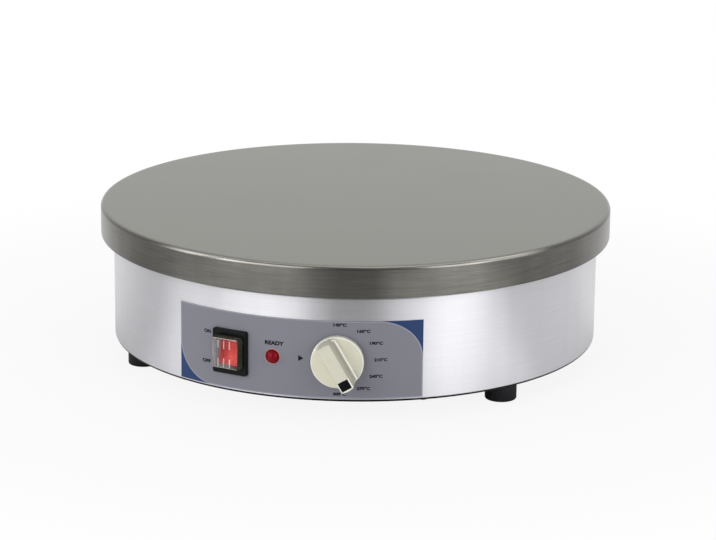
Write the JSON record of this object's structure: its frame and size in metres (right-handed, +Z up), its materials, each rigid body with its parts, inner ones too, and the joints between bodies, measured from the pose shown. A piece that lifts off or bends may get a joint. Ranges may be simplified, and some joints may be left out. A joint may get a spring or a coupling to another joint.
{
  "type": "electric crepe maker",
  "caption": "Round electric crepe maker: cast iron griddle on a low steel housing with rocker switch, ready lamp, thermostat dial knob and rubber feet.",
  "frame": {"origin": "centre of the bounding box's floor, under the griddle's axis, at the bottom of the feet", "axes": "+Z up through the griddle, -Y towards the user and the middle of the control label, +X to the user's right, +Y out of the cable gland"},
  "size_m": [0.3999, 0.4245, 0.12],
  "materials": {
    "cast_iron_plate": "satin",
    "element_steel": "satin",
    "zinc_steel": "satin",
    "stainless_band": "satin",
    "aluminised_steel": "satin",
    "fibre_board": "matte",
    "label_film": "satin",
    "black_plastic": "satin",
    "foot_rubber": "satin",
    "seal_rubber": "matte",
    "red_rocker": "gloss",
    "clear_cover": "gloss",
    "red_lens": "gloss",
    "ivory_plastic": "satin",
    "pointer_black": "satin",
    "thermostat_moulding": "matte",
    "brass_parts": "satin",
    "copper_tube": "satin",
    "terminal_nylon": "satin",
    "wire_live": "satin",
    "wire_neutral": "satin",
    "wire_earth": "satin",
    "lead_red": "satin"
  },
  "bodies": {
    "appliance": {"griddle_plate": "cast_iron_plate", "heating_element": "element_steel", "element_pins": "zinc_steel", "clamp_ring": "aluminised_steel", "clamp_screws": "zinc_steel", "clamp_washers": "zinc_steel", "insulation_disc": "fibre_board", "heat_shield": "aluminised_steel", "support_studs": "zinc_steel", "upper_sleeves": "zinc_steel", "lower_sleeves": "zinc_steel", "support_washers": "zinc_steel", "support_nuts": "zinc_steel", "housing_shell": "stainless_band", "base_plate": "aluminised_steel", "base_screws": "zinc_steel", "base_nuts": "zinc_steel", "feet": "foot_rubber", "foot_screws": "zinc_steel", "foot_nuts": "zinc_steel", "control_label": "label_film", "switch_housing": "black_plastic", "switch_cover": "clear_cover", "switch_terminals": "brass_parts", "lamp_lens": "red_lens", "lamp_body": "black_plastic", "lamp_nut": "black_plastic", "thermostat_body": "thermostat_moulding", "thermostat_plate": "zinc_steel", "thermostat_screws": "zinc_steel", "thermostat_terminals": "brass_parts", "capillary_tube": "copper_tube", "sensing_bulb": "copper_tube", "bulb_clip": "zinc_steel", "bulb_screws": "zinc_steel", "terminal_block": "terminal_nylon", "terminal_screws": "brass_parts", "block_screws": "zinc_steel", "earth_stud": "brass_parts", "earth_nuts": "brass_parts", "gland_body": "black_plastic", "gland_seal": "seal_rubber", "gland_grommet": "seal_rubber", "gland_cap": "black_plastic", "gland_locknut": "black_plastic", "wires_live": "wire_live", "wires_neutral": "wire_neutral", "wire_earth": "wire_earth", "lamp_leads": "lead_red"},
    "dial_knob": {"knob_body": "ivory_plastic", "knob_pointer": "pointer_black", "knob_spring": "zinc_steel", "thermostat_spindle": "zinc_steel"},
    "rocker": {"switch_rocker": "red_rocker"}
  },
  "joints": [
    {"name": "dial_turn", "type": "hinge", "parent": "appliance", "child": "dial_knob", "pos_m": [0.03339, -0.18745, 0.0462], "axis": [0.1754, -0.9845, 0], "range_deg": [-30, 240]},
    {"name": "switch_rock", "type": "hinge", "parent": "appliance", "child": "rocker", "pos_m": [-0.04787, -0.18118, 0.0455], "axis": [0.9668, -0.2554, 0], "range_deg": [0, 24]}
  ]
}
